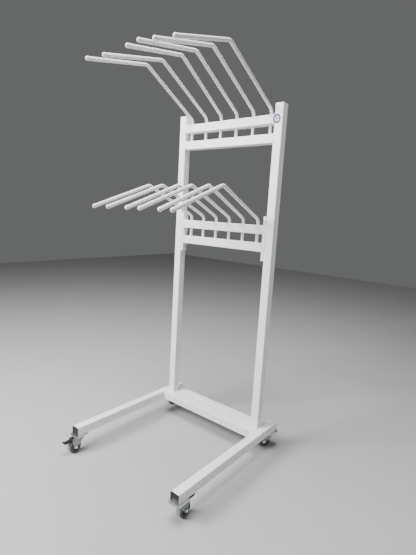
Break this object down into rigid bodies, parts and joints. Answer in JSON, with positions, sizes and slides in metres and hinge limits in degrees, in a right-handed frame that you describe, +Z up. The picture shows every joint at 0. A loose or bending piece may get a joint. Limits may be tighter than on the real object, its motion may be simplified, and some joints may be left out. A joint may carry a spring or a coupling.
{
  "type": "saddle rack",
  "caption": "Wheeled tack rack: a white tube frame on two long feet carries two tiers of peaked rod arms that swing sideways over swivel casters.",
  "frame": {"origin": "on the floor, midway between the two uprights and directly under their front faces", "axes": "+X across the rack to its right, -Y the way the arms and the long ends of the feet point, +Z up"},
  "size_m": [0.9264, 1.0878, 2.1273],
  "materials": {
    "white_paint": "white powder coat, slightly glossy, lightly scuffed",
    "dark_bolt": "dark oxide-finished hexagon bolts",
    "black_plastic": "black moulded plastic, fine grain",
    "white_plastic": "white moulded plastic caps",
    "sticker": "glossy printed vinyl, plain blue and white",
    "zinc": "bright zinc-plated pressed steel",
    "bright_nut": "bright plated axle with dome nuts",
    "wheel_centre": "dark grey moulded plastic",
    "tyre_rubber": "dark grey rubber, dusty tread"
  },
  "bodies": {
    "frame": {"left_foot": "white_paint", "right_foot": "white_paint", "front_rail": "white_paint", "middle_rail": "white_paint", "rear_rail": "white_paint", "left_upright": "white_paint", "right_upright": "white_paint", "upper_bar_top": "white_paint", "upper_bar_bottom": "white_paint", "lower_bar_top": "white_paint", "lower_bar_bottom": "white_paint", "left_post": "white_paint", "right_post": "white_paint", "post_bolts": "dark_bolt", "foot_plugs": "black_plastic", "sticker": "sticker", "caster_plates": "zinc"},
    "arm_body_u1": {"arm_u1": "white_paint", "cap_u1": "white_plastic"},
    "arm_body_u2": {"arm_u2": "white_paint", "cap_u2": "white_plastic"},
    "arm_body_u3": {"arm_u3": "white_paint", "cap_u3": "white_plastic"},
    "arm_body_u4": {"arm_u4": "white_paint", "cap_u4": "white_plastic"},
    "arm_body_u5": {"arm_u5": "white_paint", "cap_u5": "white_plastic"},
    "arm_body_u6": {"arm_u6": "white_paint", "cap_u6": "white_plastic"},
    "arm_body_l1": {"arm_l1": "white_paint", "cap_l1": "white_plastic"},
    "arm_body_l2": {"arm_l2": "white_paint", "cap_l2": "white_plastic"},
    "arm_body_l3": {"arm_l3": "white_paint", "cap_l3": "white_plastic"},
    "arm_body_l4": {"arm_l4": "white_paint", "cap_l4": "white_plastic"},
    "arm_body_l5": {"arm_l5": "white_paint", "cap_l5": "white_plastic"},
    "arm_body_l6": {"arm_l6": "white_paint", "cap_l6": "white_plastic"},
    "caster_fl": {"fork_fl": "zinc", "axle_fl": "bright_nut"},
    "wheel_fl": {"hub_fl": "wheel_centre", "tyre_fl": "tyre_rubber"},
    "caster_fr": {"fork_fr": "zinc", "axle_fr": "bright_nut"},
    "wheel_fr": {"hub_fr": "wheel_centre", "tyre_fr": "tyre_rubber"},
    "caster_rl": {"fork_rl": "zinc", "axle_rl": "bright_nut"},
    "wheel_rl": {"hub_rl": "wheel_centre", "tyre_rl": "tyre_rubber"},
    "caster_rr": {"fork_rr": "zinc", "axle_rr": "bright_nut"},
    "wheel_rr": {"hub_rr": "wheel_centre", "tyre_rr": "tyre_rubber"},
    "pedal_fl": {"brake_fl": "black_plastic"},
    "pedal_fr": {"brake_fr": "black_plastic"}
  },
  "joints": [
    {"name": "swing_u1", "type": "hinge", "parent": "frame", "child": "arm_body_u1", "pos_m": [-0.285, 0.025, 1.945], "axis": [0, 0, 1], "range_deg": [-52.5, 4.5]},
    {"name": "swing_u2", "type": "hinge", "parent": "frame", "child": "arm_body_u2", "pos_m": [-0.171, 0.025, 1.945], "axis": [0, 0, 1], "range_deg": [-4.5, 6]},
    {"name": "swing_u3", "type": "hinge", "parent": "frame", "child": "arm_body_u3", "pos_m": [-0.057, 0.025, 1.945], "axis": [0, 0, 1], "range_deg": [-6, 2.5]},
    {"name": "swing_u4", "type": "hinge", "parent": "frame", "child": "arm_body_u4", "pos_m": [0.057, 0.025, 1.945], "axis": [0, 0, 1], "range_deg": [-2.5, 3.5]},
    {"name": "swing_u5", "type": "hinge", "parent": "frame", "child": "arm_body_u5", "pos_m": [0.171, 0.025, 1.945], "axis": [0, 0, 1], "range_deg": [-3.5, 3]},
    {"name": "swing_u6", "type": "hinge", "parent": "frame", "child": "arm_body_u6", "pos_m": [0.285, 0.025, 1.945], "axis": [0, 0, 1], "range_deg": [-3, 28]},
    {"name": "swing_l1", "type": "hinge", "parent": "frame", "child": "arm_body_l1", "pos_m": [-0.2525, 0.025, 1.352], "axis": [0, 0, 1], "range_deg": [-63.5, 3.5]},
    {"name": "swing_l2", "type": "hinge", "parent": "frame", "child": "arm_body_l2", "pos_m": [-0.1515, 0.025, 1.352], "axis": [0, 0, 1], "range_deg": [-4, 4.5]},
    {"name": "swing_l3", "type": "hinge", "parent": "frame", "child": "arm_body_l3", "pos_m": [-0.0505, 0.025, 1.352], "axis": [0, 0, 1], "range_deg": [-5, 3]},
    {"name": "swing_l4", "type": "hinge", "parent": "frame", "child": "arm_body_l4", "pos_m": [0.0505, 0.025, 1.352], "axis": [0, 0, 1], "range_deg": [-3, 4.5]},
    {"name": "swing_l5", "type": "hinge", "parent": "frame", "child": "arm_body_l5", "pos_m": [0.1515, 0.025, 1.352], "axis": [0, 0, 1], "range_deg": [-4.5, 2.5]},
    {"name": "swing_l6", "type": "hinge", "parent": "frame", "child": "arm_body_l6", "pos_m": [0.2525, 0.025, 1.352], "axis": [0, 0, 1], "range_deg": [-2.5, 34]},
    {"name": "swivel_fl", "type": "hinge", "parent": "frame", "child": "caster_fl", "pos_m": [-0.395, -0.705, 0.087], "axis": [0, 0, 1], "continuous": true},
    {"name": "roll_fl", "type": "hinge", "parent": "caster_fl", "child": "wheel_fl", "pos_m": [-0.395, -0.74, 0.0375], "axis": [-1, 0, 0], "continuous": true},
    {"name": "swivel_fr", "type": "hinge", "parent": "frame", "child": "caster_fr", "pos_m": [0.395, -0.705, 0.087], "axis": [0, 0, 1], "continuous": true},
    {"name": "roll_fr", "type": "hinge", "parent": "caster_fr", "child": "wheel_fr", "pos_m": [0.395, -0.67, 0.0375], "axis": [1, 0, 0], "continuous": true},
    {"name": "swivel_rl", "type": "hinge", "parent": "frame", "child": "caster_rl", "pos_m": [-0.395, 0.115, 0.087], "axis": [0, 0, 1], "continuous": true},
    {"name": "roll_rl", "type": "hinge", "parent": "caster_rl", "child": "wheel_rl", "pos_m": [-0.40697, 0.08211, 0.0375], "axis": [-0.9397, 0.342, 0], "continuous": true},
    {"name": "swivel_rr", "type": "hinge", "parent": "frame", "child": "caster_rr", "pos_m": [0.395, 0.115, 0.087], "axis": [0, 0, 1], "continuous": true},
    {"name": "roll_rr", "type": "hinge", "parent": "caster_rr", "child": "wheel_rr", "pos_m": [0.36899, 0.09158, 0.0375], "axis": [-0.6691, 0.7431, 0], "continuous": true},
    {"name": "brake_press_fl", "type": "hinge", "parent": "caster_fl", "child": "pedal_fl", "pos_m": [-0.395, -0.756, 0.081], "axis": [1, 0, 0], "range_deg": [0, 14]},
    {"name": "brake_press_fr", "type": "hinge", "parent": "caster_fr", "child": "pedal_fr", "pos_m": [0.395, -0.654, 0.081], "axis": [-1, 0, 0], "range_deg": [0, 14]}
  ]
}
